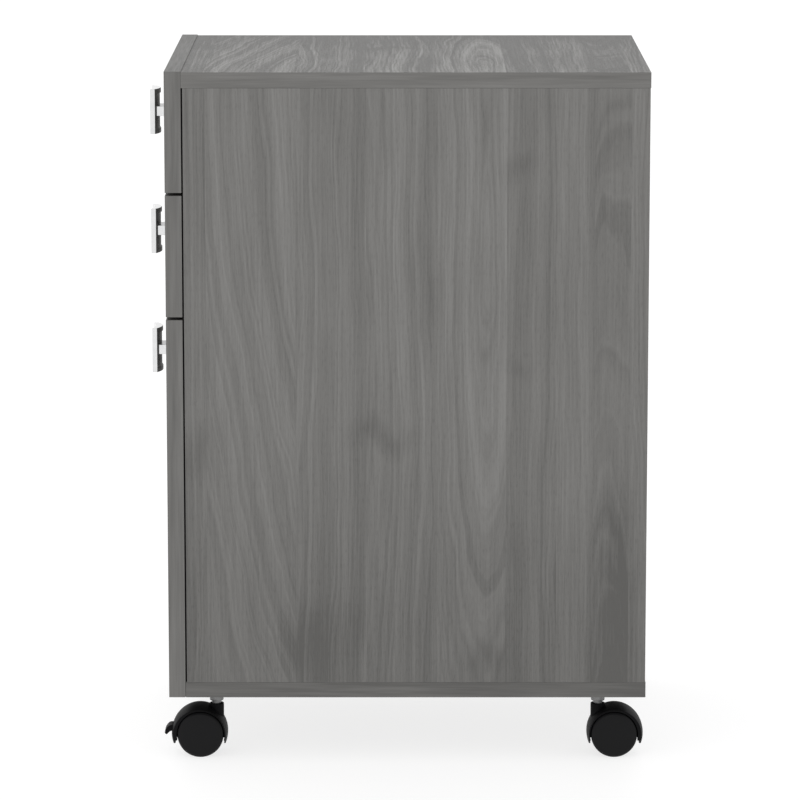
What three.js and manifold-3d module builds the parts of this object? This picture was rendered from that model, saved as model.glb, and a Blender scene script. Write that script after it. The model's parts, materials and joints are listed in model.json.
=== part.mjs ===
// Rolling pedestal cabinet: two box drawers over a file drawer, on four twin-wheel casters.
// Millimetres. +Z is up, -Y is the front, +X is the right side seen from the front, and the
// origin is on the floor under the middle of the object.
import * as THREE from "three";
import { mergeVertices } from "three/addons/utils/BufferGeometryUtils.js";
import Module from "manifold-3d";

const wasm = await Module();
wasm.setup();

// ---------------------------------------------------------------- driving dimensions
const GAP = 0.3; // left between any two pieces that touch

// Carcass
const WIDTH = 399;
const BOARD = 16;
const UNDERSIDE_Z = 70;
const TOP_Z = 720;
const BACK_Y = 259;
const FRONT_FACE_Y = -235;
const FRONT_THICKNESS = 17;
const SIDE_FRONT_GAP = 1.6; // shadow gap between the fronts and the side panels
const SIDE_BACK_INSET = 0.5;
const BACK_PANEL_THICKNESS = 5;
const BACK_PANEL_INSET = 6.5;

// Drawer boxes
const BOX_WIDTH = 341;
const BOX_SIDE = 12;
const BOX_LENGTH = 445;
const BOTTOM_THICKNESS = 6;
const BOTTOM_RISE = 10; // from the sides' lower edge to the bottom's groove
const GROOVE_DEPTH = 6;

// Drawer slides, as distances from the cabinet's side panel
const SLIDE_LENGTH = 440;
const SLIDE_SETBACK = 3; // behind the drawer front
const SLIDE_STEEL = 1.2;
const BOX_SLIDE_HEIGHT = 35;
const FILE_SLIDE_HEIGHT = 45;
const SLIDE_STEP = 4.4; // half-height lost from each member to the one inside it
const CABINET_MEMBER = { web: 0.3, lip: 9.8 };
const MIDDLE_MEMBER = { web: 2.6, lip: 10.5 };
const DRAWER_MEMBER_WEB = 12.7;
const BOX_DRAWER_MEMBER_LIP = 3.0;
const FILE_DRAWER_MEMBER_LIP = 5.0;

// Hanging-file rail
const RAIL_THICKNESS = 2;
const RAIL_HEIGHT = 30;
const RAIL_PROUD = 14; // above the drawer sides

// Handles
const HANDLE = {
  halfWidth: 20,
  halfHeight: 23.75,
  reach: 24,
  endThickness: 5.2,
  frontSag: 3,
  rimSag: 5.4,
  hollowSag: 4.2,
  rimHeight: 5,
  postHalfWidth: 15.5,
  postHalfHeight: 5.5,
  postOverlap: 3,
  belowFrontTop: 60.8,
};

// Casters
const CASTER_X = 156.5;
const FRONT_CASTER_Y = -187.5;
const REAR_CASTER_Y = 211.5;
const CASTER_TRAIL = 16.5;
const WHEEL = {
  radius: 24.2,
  facets: 32,
  inner: 8,
  outer: 23,
  rimInside: 20.5,
  hubRadius: 7,
  discInner: 18.5,
  boreEnd: 20.5,
  chamfer: 1.5,
};
const AXLE_RADIUS = 3;
const AXLE_HOLE = AXLE_RADIUS + GAP;
const AXLE_Z = WHEEL.radius * Math.cos(Math.PI / WHEEL.facets); // a facet lies flat on the floor
const HOOD = {
  facets: 40,
  insideRadius: 25,
  edgeRadius: 27.3,
  crownRadius: 29.5,
  forward: 1.3, // the dome's centre is in front of the axle and a little below it
  down: 0.8,
  halfWidth: 20.5,
  coreRadius: 25.6,
  coreHalfWidth: 7.6,
};
// The skirt's lower edge across the hood, as [distance from the middle, height from the axle].
const SKIRT = [[7.6, -13], [12, -9.5], [20.5, -6]];
const BARREL = { radius: 7.6, foot: -4, top: 30, boreRadius: 5, boreFoot: 6 };
const STEM = {
  neckRadius: 4.7,
  neckHeight: 2.8,
  collarRadius: 7.2,
  collarChamfer: 0.6,
  threadRadius: 5,
  threadLength: 14,
};
const STEM_HOLE = STEM.threadRadius + GAP;
const LEVER = {
  pivotY: -19,
  pivotZ: 3,
  eyeRadius: 4,
  shankHalfWidth: 5,
  pedalHalfWidth: 9,
  pinRadius: 1.5,
  pinHalfLength: 6.8,
};
const LEVER_SLOT = { y: [-32, -14.2], z: [-4.5, 10.3] };
const PEDAL_NOTCH = { y: [-40, -26.4], z: [-4.5, 10.3] };
// The lever's side outlines, as [Y, Z] from the axle.
const SHANK = [[-19, 0.2], [-28, 1.9], [-28, 6.7], [-24, 6.9], [-19, 5.8]];
const PEDAL = [
  [-27.4, 1.9],
  [-30, 1.6],
  [-32.2, 0.7],
  [-34.6, -2.2],
  [-36.1, -2.5],
  [-37.2, -0.4],
  [-36.5, 2],
  [-35.2, 4.3],
  [-33, 7],
  [-31.6, 7.6],
  [-29.9, 7.8],
  [-27.4, 6.8],
];

const DRAWERS = [
  { name: "top", front: [597, 720.8], box: [607, 690], slideZ: 642, fullExtension: false },
  { name: "middle", front: [469, 594], box: [479, 569], slideZ: 516, fullExtension: false },
  { name: "file", front: [70, 466], box: [96, 366], slideZ: 220, fullExtension: true },
];
const SIDES = [
  { name: "left", sign: -1 },
  { name: "right", sign: 1 },
];

// ---------------------------------------------------------------- derived places
const HALF_WIDTH = WIDTH / 2;
const INNER_X = HALF_WIDTH - BOARD;
const FRONT_BACK_Y = FRONT_FACE_Y + FRONT_THICKNESS;
const BOX_FRONT_Y = FRONT_BACK_Y + GAP;
const BOX_BACK_Y = BOX_FRONT_Y + BOX_LENGTH;
const BOX_OUTER_X = BOX_WIDTH / 2;
const BOX_INNER_X = BOX_OUTER_X - BOX_SIDE;

// ---------------------------------------------------------------- materials
function finish(color, roughness, metalness) {
  return new THREE.MeshStandardMaterial({ color, roughness, metalness });
}

const laminate = () => finish(0x76756f, 0.55, 0);
const boxBoard = () => finish(0xa9a7a1, 0.6, 0);
const hardboard = () => finish(0x9b9892, 0.7, 0);
const zincSteel = () => finish(0xa8abad, 0.35, 0.9);
const blackSteel = () => finish(0x2c2c2e, 0.45, 0.6);
const chrome = () => finish(0xd9dadc, 0.12, 1);
const blackPlastic = () => finish(0x1d1d1e, 0.5, 0);

// ---------------------------------------------------------------- geometry helpers
const group = new THREE.Group();

function addMesh(parent, name, geometry, material) {
  const mesh = new THREE.Mesh(geometry, material);
  mesh.name = name;
  parent.add(mesh);
  return mesh;
}

function block(x, y, z) {
  const geometry = new THREE.BoxGeometry(x[1] - x[0], y[1] - y[0], z[1] - z[0]);
  return geometry.translate((x[0] + x[1]) / 2, (y[0] + y[1]) / 2, (z[0] + z[1]) / 2);
}

function outline(points) {
  return new THREE.Shape(points.map(([a, b]) => new THREE.Vector2(a, b)));
}

// An outline in X and Z, drawn out along Y.
function alongY(shape, yLow, yHigh) {
  const geometry = new THREE.ExtrudeGeometry(shape, { depth: yHigh - yLow, bevelEnabled: false });
  return geometry.rotateX(Math.PI / 2).translate(0, yHigh, 0);
}

// An outline in X and Y, drawn out along Z.
function alongZ(shape, zLow, zHigh, curveSegments = 12) {
  const options = { depth: zHigh - zLow, bevelEnabled: false, curveSegments };
  return new THREE.ExtrudeGeometry(shape, options).translate(0, 0, zLow);
}

// An outline in Y and Z, drawn out along X on both sides of the middle.
function alongX(shape, halfWidth) {
  const options = { depth: 2 * halfWidth, bevelEnabled: false };
  const geometry = new THREE.ExtrudeGeometry(shape, options).translate(0, 0, -halfWidth);
  return geometry.rotateZ(Math.PI / 2).rotateY(Math.PI / 2);
}

// A profile of [radius, distance along X] pairs, turned about the X axis, with a facet facing down.
function turnedAboutX(profile, facets) {
  const points = profile.map(([radius, along]) => new THREE.Vector2(radius, along));
  const geometry = new THREE.LatheGeometry(points, facets, Math.PI / facets);
  return geometry.rotateZ(-Math.PI / 2);
}

// A profile of [radius, height] pairs, turned about the Z axis.
function turnedAboutZ(profile, facets) {
  const points = profile.map(([radius, height]) => new THREE.Vector2(radius, height));
  return new THREE.LatheGeometry(points, facets).rotateX(Math.PI / 2);
}

function rodAlongX(radius, halfLength, facets) {
  const profile = [[0, -halfLength], [radius, -halfLength], [radius, halfLength], [0, halfLength]];
  return turnedAboutX(profile, facets);
}

function solid(geometry) {
  const bare = geometry.clone();
  bare.deleteAttribute("normal");
  bare.deleteAttribute("uv");
  const merged = mergeVertices(bare, 1e-4);
  const mesh = new wasm.Mesh({
    numProp: 3,
    vertProperties: new Float32Array(merged.attributes.position.array),
    triVerts: new Uint32Array(merged.index.array),
  });
  return new wasm.Manifold(mesh);
}

function join(...geometries) {
  return geometries.map(solid).reduce((whole, piece) => whole.add(piece));
}

function toGeometry(manifold) {
  const mesh = manifold.getMesh();
  const geometry = new THREE.BufferGeometry();
  geometry.setAttribute("position", new THREE.BufferAttribute(mesh.vertProperties, 3));
  geometry.setIndex(new THREE.BufferAttribute(mesh.triVerts, 1));
  geometry.computeVertexNormals();
  return geometry;
}

// ---------------------------------------------------------------- carcass
function rectangle(halfWidth, yLow, yHigh) {
  return outline([
    [-halfWidth, yLow],
    [halfWidth, yLow],
    [halfWidth, yHigh],
    [-halfWidth, yHigh],
  ]);
}

function bottomPanel() {
  const shape = rectangle(HALF_WIDTH, BOX_FRONT_Y, BACK_Y);
  for (const y of [FRONT_CASTER_Y, REAR_CASTER_Y]) {
    for (const x of [-CASTER_X, CASTER_X]) {
      const hole = new THREE.Path();
      hole.absarc(x, y, STEM_HOLE, 0, 2 * Math.PI, true);
      shape.holes.push(hole);
    }
  }
  return alongZ(shape, UNDERSIDE_Z, UNDERSIDE_Z + BOARD, 10);
}

function addCarcass() {
  const full = [-HALF_WIDTH, HALF_WIDTH];
  const wallZ = [UNDERSIDE_Z + BOARD + GAP, TOP_Z - BOARD - GAP];
  const wallY = [FRONT_BACK_Y + SIDE_FRONT_GAP, BACK_Y - SIDE_BACK_INSET];
  const top = block(full, [BOX_FRONT_Y, BACK_Y], [TOP_Z - BOARD, TOP_Z]);
  addMesh(group, "top_panel", top, laminate());
  addMesh(group, "bottom_panel", bottomPanel(), laminate());
  addMesh(group, "left_side_panel", block([-HALF_WIDTH, -INNER_X], wallY, wallZ), laminate());
  addMesh(group, "right_side_panel", block([INNER_X, HALF_WIDTH], wallY, wallZ), laminate());
  const backY = BACK_Y - BACK_PANEL_INSET;
  const backX = [-INNER_X + GAP, INNER_X - GAP];
  const back = block(backX, [backY - BACK_PANEL_THICKNESS, backY], wallZ);
  addMesh(group, "back_panel", back, laminate());
}

// ---------------------------------------------------------------- drawers
// The groove near a drawer side's lower edge holds the drawer's bottom.
function drawerSide(sign, low, high) {
  const grooveLow = low + BOTTOM_RISE;
  const grooveHigh = grooveLow + BOTTOM_THICKNESS + 2 * GAP;
  const grooveX = BOX_INNER_X + GROOVE_DEPTH;
  const points = [
    [BOX_OUTER_X, low],
    [BOX_OUTER_X, high],
    [BOX_INNER_X, high],
    [BOX_INNER_X, grooveHigh],
    [grooveX, grooveHigh],
    [grooveX, grooveLow],
    [BOX_INNER_X, grooveLow],
    [BOX_INNER_X, low],
  ];
  return alongY(outline(points.map(([x, z]) => [sign * x, z])), BOX_FRONT_Y, BOX_BACK_Y);
}

// One face of the handle's plate: an arc across its width, bowed by sag towards the drawer.
function bow(shape, endY, sag, leftToRight) {
  const radius = (HANDLE.halfWidth ** 2 + sag ** 2) / (2 * sag);
  const centreY = endY + sag - radius;
  const right = Math.atan2(endY - centreY, HANDLE.halfWidth);
  const left = Math.PI - right;
  const [from, to] = leftToRight ? [left, right] : [right, left];
  shape.absarc(0, centreY, radius, from, to, leftToRight);
}

function handlePlate(backSag, zLow, zHigh) {
  const frontY = FRONT_FACE_Y - HANDLE.reach;
  const shape = new THREE.Shape();
  bow(shape, frontY, HANDLE.frontSag, true);
  bow(shape, frontY + HANDLE.endThickness, backSag, false);
  return alongZ(shape, zLow, zHigh);
}

// A plate hollowed at the back between its two rims, on one post.
function handle() {
  const { halfHeight, rimHeight, postHalfWidth, postHalfHeight } = HANDLE;
  const plateBackY = FRONT_FACE_Y - HANDLE.reach + HANDLE.endThickness + HANDLE.hollowSag;
  const postY = [plateBackY - HANDLE.postOverlap, FRONT_FACE_Y - GAP];
  const post = block(
    [-postHalfWidth, postHalfWidth],
    postY,
    [-postHalfHeight, postHalfHeight],
  );
  return toGeometry(join(
    handlePlate(HANDLE.hollowSag, -halfHeight, halfHeight),
    handlePlate(HANDLE.rimSag, halfHeight - rimHeight, halfHeight),
    handlePlate(HANDLE.rimSag, -halfHeight, rimHeight - halfHeight),
    post,
  ));
}

function addDrawer({ name, front, box }) {
  const [low, high] = box;
  const bottomLow = low + BOTTOM_RISE + GAP;
  const bottomHigh = bottomLow + BOTTOM_THICKNESS;
  const bottomX = BOX_INNER_X + GROOVE_DEPTH - GAP;
  const backX = BOX_INNER_X - GAP;
  const face = block([-HALF_WIDTH, HALF_WIDTH], [FRONT_FACE_Y, FRONT_BACK_Y], front);
  const back = block([-backX, backX], [BOX_BACK_Y - BOX_SIDE, BOX_BACK_Y], [bottomHigh + GAP, high]);
  const bottom = block([-bottomX, bottomX], [BOX_FRONT_Y, BOX_BACK_Y], [bottomLow, bottomHigh]);
  addMesh(group, `${name}_drawer_front`, face, laminate());
  addMesh(group, `${name}_drawer_back`, back, boxBoard());
  addMesh(group, `${name}_drawer_bottom`, bottom, hardboard());
  for (const side of SIDES) {
    const wall = drawerSide(side.sign, low, high);
    addMesh(group, `${name}_drawer_${side.name}_side`, wall, boxBoard());
  }
  const pull = addMesh(group, `${name}_drawer_handle`, handle(), chrome());
  pull.position.z = front[1] - HANDLE.belowFrontTop;
}

// Two rails and a cross-piece in one bent strip, standing proud of the file drawer's sides.
function addHangingFileRail(sidesTop) {
  const outerX = BOX_INNER_X - GAP;
  const innerX = outerX - RAIL_THICKNESS;
  const outerY = BOX_BACK_Y - BOX_SIDE - GAP;
  const innerY = outerY - RAIL_THICKNESS;
  const shape = outline([
    [-outerX, BOX_FRONT_Y],
    [-innerX, BOX_FRONT_Y],
    [-innerX, innerY],
    [innerX, innerY],
    [innerX, BOX_FRONT_Y],
    [outerX, BOX_FRONT_Y],
    [outerX, outerY],
    [-outerX, outerY],
  ]);
  const railTop = sidesTop + RAIL_PROUD;
  const rail = alongZ(shape, railTop - RAIL_HEIGHT, railTop);
  addMesh(group, "hanging_file_rail", rail, blackSteel());
}

// ---------------------------------------------------------------- drawer slides
// A C-section: its web is `web` from the side panel and its flanges reach out to `lip`.
function slideMember(sign, { web, lip }, halfHeight, centreZ) {
  const steel = Math.sign(lip - web) * SLIDE_STEEL;
  const flange = halfHeight - SLIDE_STEEL;
  const points = [
    [web, -halfHeight],
    [lip, -halfHeight],
    [lip, -flange],
    [web + steel, -flange],
    [web + steel, flange],
    [lip, flange],
    [lip, halfHeight],
    [web, halfHeight],
  ];
  const placed = points.map(([u, v]) => [sign * (INNER_X - u), centreZ + v]);
  const yLow = FRONT_BACK_Y + SLIDE_SETBACK;
  return alongY(outline(placed), yLow, yLow + SLIDE_LENGTH);
}

function addSlides({ name, slideZ, fullExtension }) {
  const halfHeight = (fullExtension ? FILE_SLIDE_HEIGHT : BOX_SLIDE_HEIGHT) / 2;
  const lip = fullExtension ? FILE_DRAWER_MEMBER_LIP : BOX_DRAWER_MEMBER_LIP;
  const drawerSteps = fullExtension ? 2 : 1;
  for (const { name: side, sign } of SIDES) {
    const prefix = `${name}_${side}_slide`;
    const cabinet = slideMember(sign, CABINET_MEMBER, halfHeight, slideZ);
    addMesh(group, `${prefix}_cabinet_member`, cabinet, zincSteel());
    if (fullExtension) {
      const middle = slideMember(sign, MIDDLE_MEMBER, halfHeight - SLIDE_STEP, slideZ);
      addMesh(group, `${prefix}_middle_member`, middle, zincSteel());
    }
    const inner = halfHeight - drawerSteps * SLIDE_STEP;
    const drawer = slideMember(sign, { web: DRAWER_MEMBER_WEB, lip }, inner, slideZ);
    addMesh(group, `${prefix}_drawer_member`, drawer, zincSteel());
  }
}

// ---------------------------------------------------------------- casters
// One wheel of the pair: a cup with a rim, a hub and a closed outer face.
function wheel(sign) {
  const { radius, inner, outer, rimInside, hubRadius, discInner, boreEnd, chamfer } = WHEEL;
  const profile = [
    [0, boreEnd],
    [AXLE_HOLE, boreEnd],
    [AXLE_HOLE, inner],
    [hubRadius, inner],
    [hubRadius, discInner],
    [rimInside, discInner],
    [rimInside, inner],
    [radius, inner],
    [radius, outer - chamfer],
    [radius - chamfer, outer],
    [0, outer],
  ];
  const geometry = turnedAboutX(profile, WHEEL.facets);
  return sign > 0 ? geometry : geometry.rotateZ(Math.PI);
}

// The dome over both wheels, hollowed round them.
function hood() {
  const { insideRadius, edgeRadius, crownRadius, halfWidth, facets } = HOOD;
  const crown = (share) => crownRadius - (crownRadius - edgeRadius) * share ** 2;
  const shares = [-1, -0.67, -0.33, 0, 0.33, 0.67, 1];
  const dome = shares.map((share) => [crown(share), share * halfWidth]);
  const profile = [[0, -halfWidth], ...dome, [0, halfWidth]];
  const outside = turnedAboutX(profile, facets).translate(0, -HOOD.forward, -HOOD.down);
  return solid(outside).subtract(solid(rodAlongX(insideRadius, 2 * halfWidth, facets)));
}

// Everything under the skirt's edge, which dips towards the middle of the caster.
function belowSkirt() {
  const far = 2 * HOOD.crownRadius;
  const edge = [...SKIRT, [far, SKIRT.at(-1)[1]]];
  const mirrored = edge.map(([x, z]) => [-x, z]).reverse();
  const shape = outline([...mirrored, ...edge, [far, -far], [-far, -far]]);
  return solid(alongY(shape, -far, far));
}

// The hood is joined to a core between the wheels that carries the axle and the stem.
function housing(hasBrake) {
  const { radius, foot, top, boreRadius, boreFoot } = BARREL;
  const barrel = turnedAboutZ([[0, foot], [radius, foot], [radius, top], [0, top]], 24);
  const bore = turnedAboutZ([[0, boreFoot], [boreRadius, boreFoot], [boreRadius, top + 1], [0, top + 1]], 24);
  const core = rodAlongX(HOOD.coreRadius, HOOD.coreHalfWidth, HOOD.facets);
  let body = hood().add(join(core, barrel.translate(0, CASTER_TRAIL, 0)));
  body = body.subtract(solid(bore.translate(0, CASTER_TRAIL, 0)));
  body = body.subtract(solid(rodAlongX(AXLE_HOLE, HOOD.halfWidth, 16)));
  body = body.subtract(belowSkirt());
  if (hasBrake) {
    const slotX = LEVER.shankHalfWidth + GAP;
    const notchX = LEVER.pedalHalfWidth + 2 * GAP;
    body = body.subtract(solid(block([-slotX, slotX], LEVER_SLOT.y, LEVER_SLOT.z)));
    body = body.subtract(solid(block([-notchX, notchX], PEDAL_NOTCH.y, PEDAL_NOTCH.z)));
    const pinHole = rodAlongX(LEVER.pinRadius + GAP, LEVER.pinHalfLength + GAP, 10);
    body = body.subtract(solid(pinHole.translate(0, LEVER.pivotY, LEVER.pivotZ)));
  }
  return toGeometry(body);
}

// The eye of the lever turns on its pin in the housing, and the pedal curves out and down.
function brakeLever() {
  const { pivotY, pivotZ, eyeRadius, shankHalfWidth, pedalHalfWidth } = LEVER;
  const eye = rodAlongX(eyeRadius, shankHalfWidth, 16).translate(0, pivotY, pivotZ);
  const pin = rodAlongX(LEVER.pinRadius, LEVER.pinHalfLength, 10).translate(0, pivotY, pivotZ);
  return toGeometry(join(
    alongX(outline(SHANK), shankHalfWidth),
    alongX(outline(PEDAL), pedalHalfWidth),
    eye,
    pin,
  ));
}

function stem() {
  const { neckRadius, neckHeight, collarRadius, collarChamfer, threadRadius, threadLength } = STEM;
  const foot = AXLE_Z + BARREL.boreFoot + 2;
  const collarFoot = AXLE_Z + BARREL.top + neckHeight;
  const collarTop = UNDERSIDE_Z - GAP;
  return turnedAboutZ([
    [0, foot],
    [neckRadius, foot],
    [neckRadius, collarFoot],
    [collarRadius - collarChamfer, collarFoot],
    [collarRadius, collarFoot + collarChamfer],
    [collarRadius, collarTop],
    [threadRadius, collarTop],
    [threadRadius, collarTop + threadLength],
    [0, collarTop + threadLength],
  ], 20);
}

function addCaster(name, x, y, facing, hasBrake) {
  const caster = new THREE.Group();
  caster.position.set(x, y, 0);
  if (facing > 0) caster.rotation.z = Math.PI;
  group.add(caster);
  addMesh(caster, `${name}_stem`, stem(), zincSteel());

  const running = new THREE.Group();
  running.position.set(0, -CASTER_TRAIL, AXLE_Z);
  caster.add(running);
  addMesh(running, `${name}_housing`, housing(hasBrake), blackPlastic());
  addMesh(running, `${name}_axle`, rodAlongX(AXLE_RADIUS, WHEEL.boreEnd - GAP, 16), zincSteel());
  for (const side of SIDES) {
    const towards = facing > 0 ? -side.sign : side.sign;
    addMesh(running, `${name}_${side.name}_wheel`, wheel(towards), blackPlastic());
  }
  if (hasBrake) addMesh(running, `${name}_brake_lever`, brakeLever(), blackPlastic());
}

// ---------------------------------------------------------------- assembly
addCarcass();
for (const drawer of DRAWERS) {
  addDrawer(drawer);
  addSlides(drawer);
}
addHangingFileRail(DRAWERS[2].box[1]);
for (const { name, sign } of SIDES) {
  addCaster(`front_${name}_caster`, sign * CASTER_X, FRONT_CASTER_Y, -1, true);
  addCaster(`rear_${name}_caster`, sign * CASTER_X, REAR_CASTER_Y, 1, false);
}

export default group;
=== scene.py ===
"""Looks of a rolling pedestal cabinet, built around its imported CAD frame.

Metres. +Z is up, -Y is the front, +X is the right side seen from the front.
"""
import json
import math

import bmesh
import bpy
from mathutils import Matrix, Vector

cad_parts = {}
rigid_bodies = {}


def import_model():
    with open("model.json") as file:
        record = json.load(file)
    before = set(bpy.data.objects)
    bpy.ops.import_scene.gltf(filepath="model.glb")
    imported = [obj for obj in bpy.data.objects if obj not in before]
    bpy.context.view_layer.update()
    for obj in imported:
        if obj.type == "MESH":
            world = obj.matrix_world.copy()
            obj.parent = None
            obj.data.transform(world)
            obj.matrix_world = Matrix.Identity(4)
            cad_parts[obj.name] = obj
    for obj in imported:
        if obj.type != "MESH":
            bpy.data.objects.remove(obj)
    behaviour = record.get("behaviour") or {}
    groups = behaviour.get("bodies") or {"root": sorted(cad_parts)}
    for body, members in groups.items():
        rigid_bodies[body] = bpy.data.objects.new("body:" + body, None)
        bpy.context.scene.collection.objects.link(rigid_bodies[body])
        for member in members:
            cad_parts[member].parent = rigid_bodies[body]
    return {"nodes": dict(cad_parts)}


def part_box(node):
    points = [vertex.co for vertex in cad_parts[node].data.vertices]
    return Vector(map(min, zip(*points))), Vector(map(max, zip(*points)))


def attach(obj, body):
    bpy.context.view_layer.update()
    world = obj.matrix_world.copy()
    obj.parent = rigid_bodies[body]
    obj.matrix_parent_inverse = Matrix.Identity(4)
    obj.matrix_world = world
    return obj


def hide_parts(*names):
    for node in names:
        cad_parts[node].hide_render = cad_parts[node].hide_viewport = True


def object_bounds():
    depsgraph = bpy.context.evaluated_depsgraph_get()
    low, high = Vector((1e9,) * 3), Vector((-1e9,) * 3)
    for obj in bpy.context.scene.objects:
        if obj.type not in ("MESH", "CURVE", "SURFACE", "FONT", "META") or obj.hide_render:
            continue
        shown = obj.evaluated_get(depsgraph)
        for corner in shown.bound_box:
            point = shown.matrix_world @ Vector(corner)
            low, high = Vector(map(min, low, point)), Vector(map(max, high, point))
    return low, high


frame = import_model()
cad_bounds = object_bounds()

MM = 0.001
X, Y, Z = 0, 1, 2
SIDES = ("left", "right")
DRAWERS = ("top", "middle", "file")
CABINET = "cabinet"

# ---------------------------------------------------------------- camera and studio
CAMERA_X = 4.7296
CAMERA_Y = 0.0044
CAMERA_Z = 1.1863
CAMERA_PITCH = math.radians(10.052)
CAMERA_LENS = 201.94
CAMERA_SENSOR = 36.0
FLOOR_HALF = 30.0
FLOOR_COLOUR = (0.25, 0.25, 0.25, 1)
FLOOR_GLOW = 0.76  # keeps the floor near white, with only a faint shadow
WORLD_STRENGTH = 1.0

# ---------------------------------------------------------------- laminate
PRINT_WIDTH = 0.477
PRINT_LENGTH = 0.617
# Each plank of the print: its left edge, the middle of its rings across, the height of their eye,
# how far they are drawn out along the grain, and its tone. Places are shares of the print's size.
PLANKS = (
    (0.000, 0.60, 0.40, 0.04, 0.44),
    (0.045, 0.52, 1.18, 0.25, 0.57),
    (0.237, -0.10, 1.00, 0.10, 0.48),
    (0.389, 0.36, 0.56, 0.10, 0.53),
    (0.542, 0.65, 0.80, 0.085, 0.58),
    (0.690, 1.60, 0.50, 0.03, 0.43),
    (0.798, -0.60, 0.50, 0.02, 0.56),
    (0.877, 0.92, -0.32, 0.085, 0.42),
    (0.957, 1.30, 0.55, 0.14, 0.56),
)
# Dark clouds in the print: place, half-sizes (shares of the print's size) and depth. The last one is
# painted shade, darkest at the low end of each board's grain (the side panels' bottom) and fading from
# there.
CLOUDS_AND_LOW_SHADE = (
    (0.43, 0.425, 0.07, 0.03, 0.26),
    (0.505, 0.66, 0.035, 0.13, 0.20),
    (0.72, 0.88, 0.035, 0.025, 0.16),
    (0.72, 0.535, 0.035, 0.025, 0.14),
    (0.28, 0.06, 0.08, 0.07, 0.24),
    (0.93, 0.10, 0.055, 0.20, 0.30),
    (0.65, 0.05, 0.04, 0.04, 0.26),
    (0.02, 0.38, 0.03, 0.05, 0.16),
    # painted shade towards the low end of the grain, not a cloud in the print
    (0.50, -0.04, 2.0, 0.36, 0.22),
)
RING_BAND = 0.016  # how far apart the broad and the fine rings are
RING_LINE = 0.0034
STREAK = (0.0022, 0.09)  # sizes across and along the grain
PORE = (0.0010, 0.0085)
WOOD_DARK = (0.085, 0.083, 0.079, 1)
WOOD_MIDDLE = (0.146, 0.143, 0.137, 1)
WOOD_LIGHT = (0.215, 0.212, 0.205, 1)


class Tree:
    """Short calls that add nodes to one shader tree. Each returns the new node's output."""

    def __init__(self, tree):
        self.tree = tree

    def add(self, kind, **settings):
        node = self.tree.nodes.new(kind)
        for name, value in settings.items():
            setattr(node, name, value)
        return node

    def feed(self, socket, value):
        if isinstance(value, bpy.types.NodeSocket):
            self.tree.links.new(value, socket)
        else:
            socket.default_value = value

    def math(self, operation, first, second=0.0, third=0.0):
        node = self.add("ShaderNodeMath", operation=operation)
        for socket, value in zip(node.inputs, (first, second, third)):
            self.feed(socket, value)
        return node.outputs[0]

    def total(self, *values):
        result = values[0]
        for value in values[1:]:
            result = self.math("ADD", result, value)
        return result

    def scaled(self, value, factor):
        return self.math("MULTIPLY", value, factor)

    def around(self, value, middle, factor):
        """How far value is from middle, times factor."""
        return self.scaled(self.math("SUBTRACT", value, middle), factor)

    def place(self, x, y, z=0.0):
        node = self.add("ShaderNodeCombineXYZ")
        for socket, value in zip(node.inputs, (x, y, z)):
            self.feed(socket, value)
        return node.outputs[0]

    def spread(self, value, low, high, to_low=0.0, to_high=1.0, smooth=False):
        kind = "SMOOTHSTEP" if smooth else "LINEAR"
        node = self.add("ShaderNodeMapRange", interpolation_type=kind)
        for socket, given in zip(node.inputs, (value, low, high, to_low, to_high)):
            self.feed(socket, given)
        return node.outputs[0]

    def noise(self, where, detail=2.0, roughness=0.5, dimensions="2D"):
        node = self.add("ShaderNodeTexNoise", noise_dimensions=dimensions)
        self.feed(node.inputs["W" if dimensions == "1D" else "Vector"], where)
        node.inputs["Scale"].default_value = 1.0
        node.inputs["Detail"].default_value = detail
        node.inputs["Roughness"].default_value = roughness
        return node.outputs[0]

    def ramp(self, value, stops, steps=False):
        node = self.add("ShaderNodeValToRGB")
        ramp = node.color_ramp
        ramp.interpolation = "CONSTANT" if steps else "LINEAR"
        while len(ramp.elements) < len(stops):
            ramp.elements.new(1.0)
        for element, (position, colour) in zip(ramp.elements, stops):
            element.position = position
            element.color = colour
        self.feed(node.inputs[0], value)
        return node.outputs

    def split(self, vector):
        node = self.add("ShaderNodeSeparateXYZ")
        self.feed(node.inputs[0], vector)
        return node.outputs

    def object_place(self):
        return self.add("ShaderNodeTexCoord").outputs["Object"]

    def bump(self, height, strength, distance):
        node = self.add("ShaderNodeBump")
        node.inputs["Strength"].default_value = strength
        node.inputs["Distance"].default_value = distance
        self.feed(node.inputs["Height"], height)
        return node.outputs[0]


class Surface(Tree):
    """A material with one Principled shader."""

    def __init__(self, name, roughness=0.5, metallic=0.0, specular=0.5):
        self.material = bpy.data.materials.new(name)
        self.material.use_nodes = True
        super().__init__(self.material.node_tree)
        self.shader = next(n for n in self.tree.nodes if n.type == "BSDF_PRINCIPLED")
        self.set("Roughness", roughness)
        self.set("Metallic", metallic)
        self.set("Specular IOR Level", specular)

    def set(self, socket, value):
        self.feed(self.shader.inputs[socket], value)


def new_group(name, inputs, outputs):
    group = bpy.data.node_groups.new(name, "ShaderNodeTree")
    for socket in inputs:
        group.interface.new_socket(socket, in_out="INPUT", socket_type="NodeSocketFloat")
    for socket in outputs:
        group.interface.new_socket(socket, in_out="OUTPUT", socket_type="NodeSocketFloat")
    tree = Tree(group)
    return group, tree, tree.add("NodeGroupInput").outputs, tree.add("NodeGroupOutput").inputs


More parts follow.
